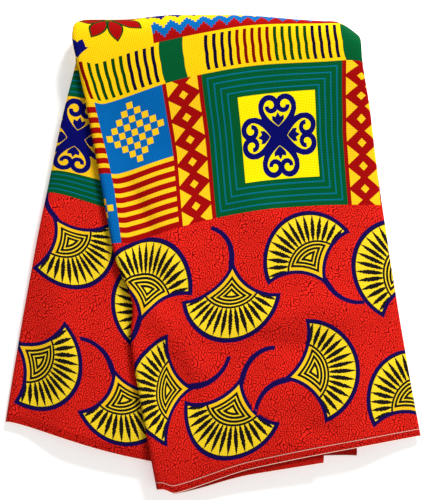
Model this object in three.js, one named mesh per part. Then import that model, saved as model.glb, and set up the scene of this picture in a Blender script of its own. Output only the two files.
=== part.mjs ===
// A printed cotton cloth, pleated back and forth along its length into six plies and then folded
// over once, so that it lies on a table with its round fold away from the viewer and both of its
// selvedges in front. The upper half is fanned out: the outer ply leans to the right and a lower
// one, the wing, spreads to the left. The whole cloth is one solid sheet.
//
// Millimetres. X runs across the plies, Y from the selvedges to the round fold, Z up.
import * as THREE from "three";

// The sheet and the way its plies lie on each other
const SHEET = 1.2; // thickness of the cloth
const BACK_PITCH = 2.3; // from ply to ply in the half that lies on the table
const FRONT_PITCH = 2.7; // from ply to ply in the upper half
const CROWN_PITCH = 3.8; // from ply to ply around the round fold, where they stand off
const HALF_GAP = 2; // extra room between the two halves
const CROWN_INNER_RADIUS = 5.5; // bend of the innermost ply around the round fold
const CROWN_TAPER = 190; // the bundle thickens over this length towards the round fold
const SIDE_REACH = 90; // a ply sinks to the table over this length past the side of those under it
const HEM_REACH = 130; // and over this length past the back selvedge

// Place of the round fold's axis, and how it sags and its ends are drawn in towards the viewer
const CROWN_Y = 279.5;
const DRAW_LENGTH = 110; // the drawing in dies away over this length
const CROWN_ENDS = [
  { side: -1, from: 48, reach: 70, drawn_in: 6 },
  { side: -1, from: 160, reach: 40, drawn_in: 16 },
  { side: 1, from: 20, reach: 130, drawn_in: 8 },
  { side: 1, from: 148, reach: 78, drawn_in: 48 },
];

// Each fold line and cut end, in order along the cloth. front and back are where the line meets the
// two selvedges, crown is its X on the round fold, bow bends its upper half sideways, and side says
// whether the cloth turns back at the right (1), at the left (-1), or ends there (0).
const LINES = [
  { name: "tucked_end", side: 0, front: [196, -222], crown: 112, back: [112, -216], bow: 0 },
  { name: "right_fold", side: 1, front: [252, -221], crown: 183, back: [179, -218], bow: -5 },
  { name: "left_fold", side: -1, front: [-68, -284], crown: -176, back: [-170, -208], bow: 0 },
  { name: "inner_right_fold", side: 1, front: [132, -253], crown: 174, back: [171, -216], bow: 0 },
  { name: "wing_fold", side: -1, front: [-254, -204], crown: -165, back: [-160, -209], bow: -6 },
  { name: "under_right_fold", side: 1, front: [173, -244], crown: 169, back: [165, -214], bow: 0 },
  { name: "last_end", side: 0, front: [-138, -216], crown: -118, back: [-118, -205], bow: 0 },
];

// The left fold is pushed in at one place, and both of its plies dip beside its front corner
const NOTCH = { line: "left_fold", at: 0.4, width: 0.06, depth: 12 };
const DIP = { line: "left_fold", drop: 8, begin: 18, end: 115 };

// The ply between each line and the next. depth counts from the outer ply inwards and hem_bow moves
// the middle of its front selvedge along Y.
const PLIES = [
  { name: "tucked_flap", depth: 1, hem_bow: 0 },
  { name: "face", depth: 0, hem_bow: 3 },
  { name: "return", depth: 2, hem_bow: 0 },
  { name: "wing", depth: 3, hem_bow: -24.5 },
  { name: "wing_lining", depth: 4, hem_bow: -19 },
  { name: "inmost", depth: 5, hem_bow: -8 },
];
const HEM_POINT = 1.5; // the bow of a selvedge is rounder for less and more pointed for more

// Open folds that stand up as soft rolls: how high and how wide each one is
const ROLLS = [
  { ply: "face", line: "left_fold", height: 7, width: 26 },
  { ply: "face", line: "right_fold", height: 5, width: 24 },
  { ply: "wing", line: "wing_fold", height: 5, width: 24 },
];

// Soft ridges that run over a ply: where each begins and ends, its height and its half width
const RIDGES = [
  { ply: "face", from: [-70, 95], to: [-55, -10], height: 3.2, width: 22 },
  { ply: "face", from: [-20, -88], to: [150, -70], height: 3.0, width: 26 },
  { ply: "face", from: [10, -190], to: [120, -165], height: 2.6, width: 30 },
  { ply: "face", from: [40, 190], to: [60, 60], height: 2.0, width: 34 },
  { ply: "wing", from: [-205, 40], to: [-190, -120], height: 2.4, width: 24 },
];

// X on the round fold of the rows of facets that all plies share
const COLUMNS = [-163, -148, -128, -100, -60, -15, 30, 75, 110, 132, 147, 159, 169, 178];
const TURN_STEPS = 5; // facets around the turn of a fold
const FRONT_STEPS = 16; // facets along the upper half
const CROWN_STEPS = 8; // facets around the round fold
const BACK_STEPS = 4; // facets along the lower half

const INMOST_DEPTH = PLIES.length - 1;
const CROWN_OUTER_RADIUS = CROWN_INNER_RADIUS + INMOST_DEPTH * CROWN_PITCH;
const CROWN_Z = CROWN_OUTER_RADIUS + SHEET / 2;

const { lerp, smoothstep } = THREE.MathUtils;
const arch = (w) => 4 * w * (1 - w);

function crownRadius(depth) {
  return CROWN_INNER_RADIUS + (INMOST_DEPTH - depth) * CROWN_PITCH;
}

// The ends of the round fold pulled in, the more the further out they are
function drawIn(point) {
  const near = smoothstep(point.y, CROWN_Y - DRAW_LENGTH, CROWN_Y);
  for (const end of CROWN_ENDS)
    point.y -= near * end.drawn_in * smoothstep(end.side * point.x, end.from, end.from + end.reach);
  return point;
}

// A fold line in the upper half, at a share of the way from the selvedge to the round fold
function lineX(line, share) {
  const x = lerp(line.front[0], line.crown, share) + line.bow * arch(share);
  if (line.name !== NOTCH.line) return x;
  return x + NOTCH.depth * Math.exp(-(((share - NOTCH.at) / NOTCH.width) ** 2));
}

function lineXAtY(line, y) {
  const share = (y - line.front[1]) / (CROWN_Y - line.front[1]);
  return lineX(line, THREE.MathUtils.clamp(share, 0, 1));
}

// How far the front selvedge of a ply lies from the straight line between its corners, along Y
function hemOffset(ply, w) {
  const i = PLIES.indexOf(ply);
  const corner = [LINES[i].name, LINES[i + 1].name].indexOf(DIP.line);
  const away = Math.abs(w - corner) * Math.abs(LINES[i + 1].front[0] - LINES[i].front[0]);
  const dip = smoothstep(away, 0, DIP.begin) * (1 - smoothstep(away, DIP.begin, DIP.end));
  return ply.hem_bow * arch(w) ** HEM_POINT - (corner < 0 ? 0 : DIP.drop * dip);
}

// 1 on the covered side of an edge, sinking to 0 over the reach beyond it
function support(inside, reach = SIDE_REACH) {
  return smoothstep(inside, -reach, 0);
}

// How far a ply of the upper half carries what lies on it at x, y
function plySupport(ply, x, y) {
  const i = PLIES.indexOf(ply);
  const ends = [lineXAtY(LINES[i], y), lineXAtY(LINES[i + 1], y)];
  return support(x - Math.min(...ends)) * support(Math.max(...ends) - x);
}

// How far the half that lies on the table carries the upper half at x, y
function backSupport(x, y) {
  const [right, left] = [LINES[1], LINES[2]];
  const hem = (right.back[1] + left.back[1]) / 2;
  return support(x - left.back[0]) * support(right.back[0] - x) * support(y - hem, HEM_REACH);
}

function ridgeHeight(ridge, x, y) {
  const [ax, ay] = ridge.from;
  const [dx, dy] = [ridge.to[0] - ax, ridge.to[1] - ay];
  const share = THREE.MathUtils.clamp(((x - ax) * dx + (y - ay) * dy) / (dx * dx + dy * dy), 0, 1);
  const away = Math.hypot(x - ax - share * dx, y - ay - share * dy) / ridge.width;
  return ridge.height * Math.exp(-away * away);
}

function rollHeight(roll, x, y) {
  const away = (x - lineXAtY(LINES.find((line) => line.name === roll.line), y)) / roll.width;
  return roll.height * Math.exp(-away * away);
}

// Height of a ply of the upper half over the table
function frontZ(ply, x, y) {
  const back = backSupport(x, y);
  let z = SHEET / 2 + back * (PLIES.length * BACK_PITCH + HALF_GAP);
  for (const under of PLIES)
    if (under.depth > ply.depth) z += FRONT_PITCH * plySupport(under, x, y);
  for (const roll of ROLLS) if (roll.ply === ply.name) z += rollHeight(roll, x, y);
  for (const ridge of RIDGES) if (ridge.ply === ply.name) z += ridgeHeight(ridge, x, y);
  const rise = smoothstep(y, CROWN_Y - CROWN_TAPER, CROWN_Y);
  return lerp(z, CROWN_Z + crownRadius(ply.depth), rise);
}

// Three stretches of the way from the front selvedge to the back one. Each gives the X of a line,
// and the place in space of a point at x on a ply.
const frontStretch = (share) => ({
  lineX: (line) => lineX(line, share),
  place(ply, x, w) {
    const i = PLIES.indexOf(ply);
    const hem = lerp(LINES[i].front[1], LINES[i + 1].front[1], w);
    const y = lerp(hem, CROWN_Y, share) + hemOffset(ply, w) * (1 - share ** 3);
    return [x, y, frontZ(ply, x, y)];
  },
});

const crownStretch = (share) => ({
  lineX: (line) => line.crown,
  place(ply, x) {
    const angle = Math.PI * share;
    const radius = crownRadius(ply.depth);
    return [x, CROWN_Y + radius * Math.sin(angle), CROWN_Z + radius * Math.cos(angle)];
  },
});

const backStretch = (share) => ({
  lineX: (line) => lerp(line.crown, line.back[0], share),
  place(ply, x, w) {
    const i = PLIES.indexOf(ply);
    const hem = lerp(LINES[i].back[1], LINES[i + 1].back[1], w);
    const pitch = lerp(CROWN_PITCH, BACK_PITCH, smoothstep(share, 0, 0.4));
    return [x, lerp(CROWN_Y, hem, share), SHEET / 2 + ply.depth * pitch];
  },
});

// The shares of the way across a ply at which it has a row of points
function shares(from, to) {
  const inner = COLUMNS.map((x) => (x - from) / (to - from)).filter((w) => w > 0.015 && w < 0.985);
  return [0, ...inner.sort((a, b) => a - b), 1];
}

// The middle of the sheet across all its plies, at one station along its width
function section(stretch) {
  const points = [];
  // Each turn of the cloth is half round, as wide as the room between its two plies.
  const turns = LINES.map((line, i) => {
    if (line.side === 0) return { x: stretch.lineX(line), radius: 0 };
    const x = stretch.lineX(line);
    const a = new THREE.Vector3(...stretch.place(PLIES[i - 1], x, 1));
    const b = new THREE.Vector3(...stretch.place(PLIES[i], x, 0));
    const radius = a.distanceTo(b) / 2;
    return { x: x - line.side * radius, radius };
  });
  PLIES.forEach((ply, i) => {
    for (const w of shares(LINES[i].crown, LINES[i + 1].crown))
      points.push(new THREE.Vector3(...stretch.place(ply, lerp(turns[i].x, turns[i + 1].x, w), w)));
    const turn = turns[i + 1];
    if (turn.radius === 0) return;
    const from = points.at(-1);
    const to = new THREE.Vector3(...stretch.place(PLIES[i + 1], turn.x, 0));
    const middle = from.clone().add(to).multiplyScalar(0.5);
    const out = new THREE.Vector3(LINES[i + 1].side * turn.radius, 0, 0);
    for (let step = 1; step < TURN_STEPS; step++) {
      const angle = (Math.PI * step) / TURN_STEPS;
      const around = from.clone().sub(middle).multiplyScalar(Math.cos(angle));
      points.push(middle.clone().add(around).addScaledVector(out, Math.sin(angle)));
    }
  });
  return points.map(drawIn);
}

// Every station from the front selvedge, over the round fold, to the back selvedge
function middleSurface() {
  const rows = [];
  for (let i = 0; i < FRONT_STEPS; i++) rows.push(section(frontStretch(i / FRONT_STEPS)));
  for (let i = 0; i < CROWN_STEPS; i++) rows.push(section(crownStretch(i / CROWN_STEPS)));
  for (let i = 0; i <= BACK_STEPS; i++) rows.push(section(backStretch(i / BACK_STEPS)));
  return rows;
}

// The way the sheet faces at each point of its middle surface
function facing(rows, r, c) {
  const across = rows[r][Math.min(c + 1, rows[r].length - 1)].clone();
  across.sub(rows[r][Math.max(c - 1, 0)]);
  const along = rows[Math.min(r + 1, rows.length - 1)][c].clone();
  along.sub(rows[Math.max(r - 1, 0)][c]);
  return across.cross(along).normalize();
}

// One closed sheet of the given thickness around a middle surface
function sheetGeometry(rows, thickness) {
  const columns = rows[0].length;
  const positions = [];
  for (const half of [thickness / 2, -thickness / 2])
    rows.forEach((row, r) =>
      row.forEach((point, c) => {
        positions.push(...point.clone().addScaledVector(facing(rows, r, c), half).toArray());
      }),
    );
  const upper = (r, c) => r * columns + c;
  const lower = (r, c) => upper(r, c) + rows.length * columns;
  const index = [];
  const quad = (a, b, c, d) => index.push(a, b, c, a, c, d);
  const lastRow = rows.length - 1;
  const lastColumn = columns - 1;
  for (let r = 0; r < lastRow; r++)
    for (let c = 0; c < lastColumn; c++) {
      quad(upper(r, c), upper(r, c + 1), upper(r + 1, c + 1), upper(r + 1, c));
      quad(lower(r, c), lower(r + 1, c), lower(r + 1, c + 1), lower(r, c + 1));
    }
  for (let c = 0; c < lastColumn; c++) {
    quad(upper(0, c), lower(0, c), lower(0, c + 1), upper(0, c + 1));
    quad(upper(lastRow, c), upper(lastRow, c + 1), lower(lastRow, c + 1), lower(lastRow, c));
  }
  for (let r = 0; r < lastRow; r++) {
    quad(upper(r, 0), upper(r + 1, 0), lower(r + 1, 0), lower(r, 0));
    quad(upper(r, lastColumn), lower(r, lastColumn), lower(r + 1, lastColumn), upper(r + 1, lastColumn));
  }
  const geometry = new THREE.BufferGeometry();
  geometry.setAttribute("position", new THREE.Float32BufferAttribute(positions, 3));
  geometry.setIndex(index);
  geometry.computeVertexNormals();
  return geometry;
}

// The origin is under the middle of the cloth's box, on the table.
function centred(geometry) {
  geometry.computeBoundingBox();
  const middle = geometry.boundingBox.getCenter(new THREE.Vector3());
  return geometry.translate(-middle.x, -middle.y, -geometry.boundingBox.min.z);
}

const cloth = new THREE.Mesh(
  centred(sheetGeometry(middleSurface(), SHEET)),
  new THREE.MeshStandardMaterial({ color: 0xc8281c, roughness: 0.85, metalness: 0 }),
);
cloth.name = "cloth";

const foldedCloth = new THREE.Group();
foldedCloth.add(cloth);

export default foldedCloth;
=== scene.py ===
"""A folded length of kente-patterned cotton, dressed for a photograph.

The cloth is one thin sheet. It starts as a flat grid, is pleated back and forth into six plies, folded
over once, and printed with its bands, blocks and fan motifs by formula. Sizes are in millimetres until
a mesh or a lamp is made.
"""
import logging
import math
from dataclasses import dataclass, replace
from enum import Enum
from typing import Callable, Sequence, Union

import bpy
import numpy as np
from mathutils import Matrix, Vector


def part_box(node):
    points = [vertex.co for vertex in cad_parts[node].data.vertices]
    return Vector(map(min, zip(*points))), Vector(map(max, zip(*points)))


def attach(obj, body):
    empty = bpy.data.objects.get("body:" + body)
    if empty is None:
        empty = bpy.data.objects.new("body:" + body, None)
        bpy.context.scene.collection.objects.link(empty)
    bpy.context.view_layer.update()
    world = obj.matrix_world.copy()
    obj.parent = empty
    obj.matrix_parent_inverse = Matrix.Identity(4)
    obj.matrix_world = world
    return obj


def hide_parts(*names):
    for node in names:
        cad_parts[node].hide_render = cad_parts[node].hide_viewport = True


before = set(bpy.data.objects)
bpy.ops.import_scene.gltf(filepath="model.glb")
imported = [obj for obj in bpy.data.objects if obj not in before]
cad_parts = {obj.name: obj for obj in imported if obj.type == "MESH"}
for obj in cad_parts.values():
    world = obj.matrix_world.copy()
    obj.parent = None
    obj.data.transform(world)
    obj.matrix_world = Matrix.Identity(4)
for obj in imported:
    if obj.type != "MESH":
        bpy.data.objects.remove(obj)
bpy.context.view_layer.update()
LOG = logging.getLogger("folded_cloth")
MM = 0.001

Array = np.ndarray
Reals = Union[float, Array]
Colour = tuple[float, float, float]


def smooth(value: Reals, low: Reals, high: Reals) -> Reals:
    """Eases from 0 at low to 1 at high.

    Args:
        value: where to ease.
        low: end of the zeros.
        high: start of the ones.

    Returns:
        The eased share.
    """
    share = np.clip((value - low) / (high - low), 0.0, 1.0)
    return share * share * (3.0 - 2.0 * share)


def blend(start: Reals, end: Reals, share: Reals) -> Reals:
    """Goes from start to end by a share."""
    return start + (end - start) * share


def arch(share: Reals) -> Reals:
    """Rises from 0 to 1 in the middle and back to 0."""
    return 4.0 * share * (1.0 - share)


class PlyName(Enum):
    """The plies, in order along the cloth."""

    FLAP = 0
    FACE = 1
    RETURN = 2
    WING = 3
    LINING = 4
    INMOST = 5


@dataclass(frozen=True)
class FoldLine:
    """A line where the cloth turns back, or one of its cut ends.

    Attributes:
        side: 1 where it turns back at the right, -1 at the left, 0 at a cut end.
        front: where it meets the front selvedge.
        crown: its X on the round fold.
        back: where it meets the back selvedge.
        bow: how far its upper half bends sideways.
        notch: how far it is pushed in at one place.
        dip: how far its two plies dip beside its front corner.
    """

    side: int
    front: tuple[float, float]
    crown: float
    back: tuple[float, float]
    bow: float = 0.0
    notch: float = 0.0
    dip: float = 0.0


@dataclass(frozen=True)
class Ply:
    """One layer between two fold lines.

    Attributes:
        depth: its place counted from the outer ply inwards.
        hem_bow: how far the middle of its front selvedge moves along Y.
        slack: cloth taken up in small waves at its start, middle and end, which lowers its print.
        slack_rise: lengths of cloth between which the slack gathers.
        slack_from: length of cloth where it begins to be let out again.
        slack_gone: lengths where its start, middle and end are all let out.
    """

    depth: int
    hem_bow: float = 0.0
    slack: tuple[float, float, float] = (0.0, 0.0, 0.0)
    slack_rise: tuple[float, float] = (80.0, 200.0)
    slack_from: float = 300.0
    slack_gone: tuple[float, float, float] = (640.0, 640.0, 640.0)

    def slack_at(self, share: float, along: Array) -> Array:
        """Slack at a share of the way across, by the length of cloth from the front selvedge."""
        weights = (1 - share) * (1 - 2 * share), arch(share), share * (2 * share - 1)
        slack = np.zeros_like(along)
        for part, weight, gone in zip(self.slack, weights, self.slack_gone):
            slack += part * weight * (1 - smooth(along, self.slack_from, gone))
        return slack * smooth(along, *self.slack_rise)


@dataclass(frozen=True)
class Roll:
    """An open fold that stands up as a soft roll along a line."""

    ply: PlyName
    line: int
    height: float
    width: float


@dataclass(frozen=True)
class Crease:
    """A soft ridge, or with a negative height a trough, that runs over a ply."""

    ply: PlyName
    start: tuple[float, float]
    end: tuple[float, float]
    height: float
    width: float


@dataclass(frozen=True)
class CrownEnd:
    """How one end of the round fold is drawn in.

    Attributes:
        side: 1 for the right end, -1 for the left.
        start: distance from the middle where it begins.
        reach: distance over which it grows.
        drawn_in: how far it ends up.
        slide: how far the print slides over the fold there.
    """

    side: int
    start: float
    reach: float
    drawn_in: float
    slide: float = 0.0

    def share_at(self, x: Array) -> Array:
        """How far it has grown at a place across."""
        return smooth(self.side * x, self.start, self.start + self.reach)


@dataclass
class Folding:
    """The way the flat cloth is pleated, fanned out and folded over.

    Attributes:
        sheet: thickness that the plies are laid with.
        width: from selvedge to selvedge.
        back_pitch: height from ply to ply in the half on the table.
        front_pitch: the same in the upper half.
        crown_pitch: the same around the round fold.
        half_gap: gap between the two halves.
        crown_inner_radius: bend of the inmost ply at the round fold.
        crown_taper: length over which the upper half rises to the round fold.
        pitch_settles: share of the lower half over which its plies close up.
        side_reach: how far past the side of what lies below a ply comes down.
        hem_reach: the same past the lower half's selvedge.
        crown_y: where the round fold's axis is.
        draw_length: length over which the ends of the round fold are drawn in.
        slide_fade: length over which the print's slide dies away behind the round fold.
        notch_at: share of the way up where a fold line is pushed in.
        notch_width: how long that place is.
        dip_begin: distance from a corner where the selvedge dips most.
        dip_end: distance where the dip ends.
        dip_fade: how fast the dip fades up the ply.
        bow_fade: how late the selvedge's bow fades up the ply.
        hem_point: how pointed the selvedge's bow is.
        knots: lengths from the front selvedge that the next five are given for.
        first_fold_at: place of the first fold along the cloth.
        wing_fold_at: place of the wing's fold along the cloth.
        gather: how much the face's print is drawn together right of gather_from.
        gather_left: the same left of it.
        take_up: cloth lost in the roll at the face's left side.
        gather_from: place along the cloth that the gathering leaves alone.
        take_up_reach: how far from the fold the roll takes it up.
        length: places of the two cut ends along the cloth.
        lines: the cut ends and folds, in order.
        plies: the layers between them.
        rolls: folds that stand up.
        creases: ridges and troughs.
        crown_ends: how the round fold is drawn in.
        samples_across: points across each ply.
        samples_round: steps around each fold.
    """

    sheet: float = 1.2
    width: float = 1128.0
    back_pitch: float = 2.3
    front_pitch: float = 2.7
    crown_pitch: float = 3.8
    half_gap: float = 2.0
    crown_inner_radius: float = 5.5
    crown_taper: float = 190.0
    pitch_settles: float = 0.4
    side_reach: float = 90.0
    hem_reach: float = 130.0
    crown_y: float = 279.5
    draw_length: float = 110.0
    slide_fade: float = 250.0
    notch_at: float = 0.4
    notch_width: float = 0.06
    dip_begin: float = 18.0
    dip_end: float = 115.0
    dip_fade: int = 6
    bow_fade: int = 3
    hem_point: float = 1.5
    knots: Sequence[float] = (0, 300, 390, 480, 505, 532, 579)
    first_fold_at: Sequence[float] = (228, 209, 205, 201, 204, 214, 232)
    wing_fold_at: Sequence[float] = (-824, -817, -815, -813, -813, -813, -813)
    gather: Sequence[float] = (1.0, 1.06, 1.045, 0.985, 0.99, 1.0, 1.0)
    gather_left: Sequence[float] = (1.0, 1.01, 1.02, 0.952, 0.925, 0.9, 0.82)
    gather_from: float = 30.0
    take_up: Sequence[float] = (9, 12, 4, 3, 2, 0, 0)
    take_up_reach: float = 70.0
    length: tuple[float, float] = (-1500.0, 330.0)
    lines: Sequence[FoldLine] = (
        FoldLine(0, (196, -222), 112, (112, -216)),
        FoldLine(1, (252, -221), 183, (179, -218), -5),
        FoldLine(-1, (-68, -284), -176, (-170, -208), 0, 12, 8),
        FoldLine(1, (132, -253), 174, (171, -216)),
        FoldLine(-1, (-254, -204), -165, (-160, -209), -6),
        FoldLine(1, (173, -244), 169, (165, -214)),
        FoldLine(0, (-138, -216), -118, (-118, -205)),
    )
    plies: Sequence[Ply] = (
        Ply(1, 0, (0, 0, 15)),
        Ply(0, 3, (15, -4.5, -2), slack_gone=(640.0, 900.0, 440.0)),
        Ply(2, 0, (-2, 0, 0), slack_gone=(440.0, 640.0, 640.0)),
        Ply(3, -24.5, (0, 6, 48), (200.0, 500.0), 500.0),
        Ply(4, -19, (48, 0, 0), (200.0, 500.0), 500.0),
        Ply(5, -8),
    )
    rolls: Sequence[Roll] = (
        Roll(PlyName.FACE, 2, 7, 26),
        Roll(PlyName.FACE, 1, 5, 24),
        Roll(PlyName.WING, 4, 5, 24),
    )
    creases: Sequence[Crease] = (
        Crease(PlyName.FACE, (-70, 95), (-55, -10), 5.0, 22),
        Crease(PlyName.FACE, (-20, -88), (150, -70), 4.5, 24),
        Crease(PlyName.FACE, (10, -190), (120, -165), 4.0, 30),
        Crease(PlyName.FACE, (40, 190), (60, 60), 3.0, 34),
        Crease(PlyName.FACE, (-106, 86), (-78, 30), -2.6, 10),
        Crease(PlyName.FACE, (-84, -56), (-17, -142), 5.0, 16),
        Crease(PlyName.FACE, (-44, -203), (-42, -277), 4.0, 18),
        Crease(PlyName.FACE, (2, -43), (63, 36), 4.0, 30),
        Crease(PlyName.FACE, (59, -105), (116, -120), -2.6, 11),
        Crease(PlyName.FACE, (116, -213), (141, -216), -2.6, 10),
        Crease(PlyName.WING, (-205, 40), (-190, -120), 3.5, 24),
    )
    crown_ends: Sequence[CrownEnd] = (
        CrownEnd(-1, 48, 70, 6, 12),
        CrownEnd(-1, 160, 40, 16, 16),
        CrownEnd(1, 20, 130, 8),
        CrownEnd(1, 148, 78, 48, 48),
    )
    samples_across: int = 90
    samples_round: int = 14

    @property
    def crown_z(self) -> float:
        """Height of the round fold's axis."""
        return self.crown_radius(0) + self.sheet / 2

    @property
    def crown_length(self) -> float:
        """Length of print that goes around the round fold."""
        return math.pi * self.crown_radius(0)

    def crown_radius(self, depth: int) -> float:
        """Bend of a ply around the round fold."""
        return self.crown_inner_radius + (len(self.plies) - 1 - depth) * self.crown_pitch

    def line_x(self, line: FoldLine, share: Array) -> Array:
        """X of a fold line in the upper half, by its share of the way to the round fold."""
        notch = np.exp(-(((share - self.notch_at) / self.notch_width) ** 2))
        return blend(line.front[0], line.crown, share) + line.bow * arch(share) + line.notch * notch

    def line_x_at(self, line: FoldLine, y: Array) -> Array:
        """X of a fold line in the upper half, at a given Y."""
        share = (y - line.front[1]) / (self.crown_y - line.front[1])
        return self.line_x(line, np.clip(share, 0.0, 1.0))

    def ply_support(self, index: int, x: Array, y: Array) -> Array:
        """How far a ply of the upper half carries what lies on it.

        Args:
            index: which ply.
            x: where, across.
            y: where, along.

        Returns:
            1 over the ply, sinking to 0 past its sides.
        """
        ends = [self.line_x_at(self.lines[index + side], y) for side in (0, 1)]
        left = smooth(x - np.minimum(*ends), -self.side_reach, 0.0)
        right = smooth(np.maximum(*ends) - x, -self.side_reach, 0.0)
        return left * right

    def back_support(self, x: Array, y: Array) -> Array:
        """How far the half on the table carries the upper half."""
        right, left = self.lines[1].back, self.lines[2].back
        hem = (right[1] + left[1]) / 2
        sides = smooth(x - left[0], -self.side_reach, 0.0) * smooth(right[0] - x, -self.side_reach, 0.0)
        return sides * smooth(y - hem, -self.hem_reach, 0.0)

    def crease_height(self, crease: Crease, x: Array, y: Array) -> Array:
        """How much a crease lifts its ply at a place."""
        (ax, ay), (bx, by) = crease.start, crease.end
        dx, dy = bx - ax, by - ay
        share = np.clip(((x - ax) * dx + (y - ay) * dy) / (dx * dx + dy * dy), 0.0, 1.0)
        away = np.hypot(x - ax - share * dx, y - ay - share * dy) / crease.width
        return crease.height * np.exp(-away * away)

    def front_z(self, index: int, x: Array, y: Array) -> Array:
        """Height of a ply of the upper half over the table.

        Args:
            index: which ply.
            x: where, across.
            y: where, along.

        Returns:
            The height of the middle of the sheet.
        """
        ply = self.plies[index]
        lower_half = len(self.plies) * self.back_pitch + self.half_gap
        z = self.sheet / 2 + self.back_support(x, y) * lower_half
        for under, other in enumerate(self.plies):
            if other.depth > ply.depth:
                z = z + self.front_pitch * self.ply_support(under, x, y)
        for roll in self.rolls:
            if roll.ply.value == index:
                away = (x - self.line_x_at(self.lines[roll.line], y)) / roll.width
                z = z + roll.height * np.exp(-away * away)
        for crease in self.creases:
            if crease.ply.value == index:
                z = z + self.crease_height(crease, x, y)
        rise = smooth(y, self.crown_y - self.crown_taper, self.crown_y)
        return blend(z, self.crown_z + self.crown_radius(ply.depth), rise)

    def hem_bow(self, index: int, share: float) -> float:
        """How far a ply's front selvedge bows from the straight line between its corners, along Y."""
        return self.plies[index].hem_bow * arch(share) ** self.hem_point

    def hem_dip(self, index: int, share: float) -> float:
        """How far a ply's front selvedge dips beside its corners."""
        ends = self.lines[index], self.lines[index + 1]
        dip = 0.0
        for corner, line in enumerate(ends):
            away = abs(share - corner) * abs(ends[1].front[0] - ends[0].front[0])
            falls, rises = smooth(away, 0.0, self.dip_begin), smooth(away, self.dip_begin, self.dip_end)
            dip += line.dip * falls * (1 - rises)
        return dip

    def front_length(self, index: int, share: float) -> float:
        """Length of a ply from its front selvedge to the round fold, by the share of the way across."""
        a, b = self.lines[index], self.lines[index + 1]
        hem_x, hem_y = (blend(a.front[axis], b.front[axis], share) for axis in (0, 1))
        hem_y = hem_y + self.hem_bow(index, share) - self.hem_dip(index, share)
        return math.hypot(blend(a.crown, b.crown, share) - hem_x, self.crown_y - hem_y)

    def line_reach(self, line: FoldLine) -> float:
        """Length of a fold line from the front selvedge to the round fold."""
        return math.hypot(line.crown - line.front[0], self.crown_y - line.front[1])

    def line_slack(self, index: int, along: Array) -> Array:
        """Slack of the cloth at a fold line."""
        if index < len(self.plies):
            return self.plies[index].slack_at(0.0, along)
        return self.plies[-1].slack_at(1.0, along)

    def slide(self, x: Array, along: Array, reach: float) -> Array:
        """How far the print slides over the drawn-in ends of the round fold.

        Args:
            x: where, across.
            along: length of cloth from the front selvedge.
            reach: length from there to the round fold.

        Returns:
            The length to add, 0 away from the ends.
        """
        past = reach + self.crown_length
        near = smooth(along, reach - self.draw_length, reach)
        near = near * (1 - smooth(along, past, past + self.slide_fade))
        return near * sum(end.slide * end.share_at(x) for end in self.crown_ends)

    def line_x_along(self, index: int, along: Array) -> Array:
        """X of a fold line, by the length of cloth from the front selvedge."""
        line = self.lines[index]
        reach = self.line_reach(line)
        back = (along - reach - self.crown_length) / (self.width - reach - self.crown_length)
        front = self.line_x(line, np.clip(along / reach, 0.0, 1.0))
        return np.where(back > 0, blend(line.crown, line.back[0], np.clip(back, 0.0, 1.0)), front)

    def place(self, index: int, share: float, along: Array, x: Array) -> Array:
        """Places points of a ply in space.

        Args:
            index: which ply.
            share: the share of the way across it.
            along: length of cloth from the front selvedge, one for each row.
            x: where the points are across.

        Returns:
            One point for each row.
        """
        ply, a, b = self.plies[index], self.lines[index], self.lines[index + 1]
        reach = self.front_length(index, share)
        along = along - ply.slack_at(share, along) + self.slide(x, along, reach)
        front = np.clip(along / reach, 0.0, 1.0)
        hem_y = blend(a.front[1], b.front[1], share)
        y = blend(hem_y, self.crown_y, front) + self.hem_bow(index, share) * (1 - front**self.bow_fade)
        y = y - self.hem_dip(index, share) * (1 - front) ** self.dip_fade
        z = self.front_z(index, x, y)
        angle = math.pi * np.clip((along - reach) / self.crown_length, 0.0, 1.0)
        radius = self.crown_radius(ply.depth)
        over = along > reach
        y = np.where(over, self.crown_y + radius * np.sin(angle), y)
        z = np.where(over, self.crown_z + radius * np.cos(angle), z)
        back = (along - reach - self.crown_length) / (self.width - reach - self.crown_length)
        under = back > 0
        pitch = blend(self.crown_pitch, self.back_pitch, smooth(back, 0.0, self.pitch_settles))
        y = np.where(under, blend(self.crown_y, blend(a.back[1], b.back[1], share), back), y)
        z = np.where(under, self.sheet / 2 + ply.depth * pitch, z)
        return np.stack([x, y, z], axis=-1)

    def draw_in(self, points: Array) -> Array:
        """Pulls in the ends of the round fold, the more the further out they are."""
        x, y, z = np.moveaxis(points, -1, 0)
        near = smooth(y, self.crown_y - self.draw_length, self.crown_y)
        for end in self.crown_ends:
            y = y - near * end.drawn_in * end.share_at(x)
        return np.stack([x, y, z], axis=-1)

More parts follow.
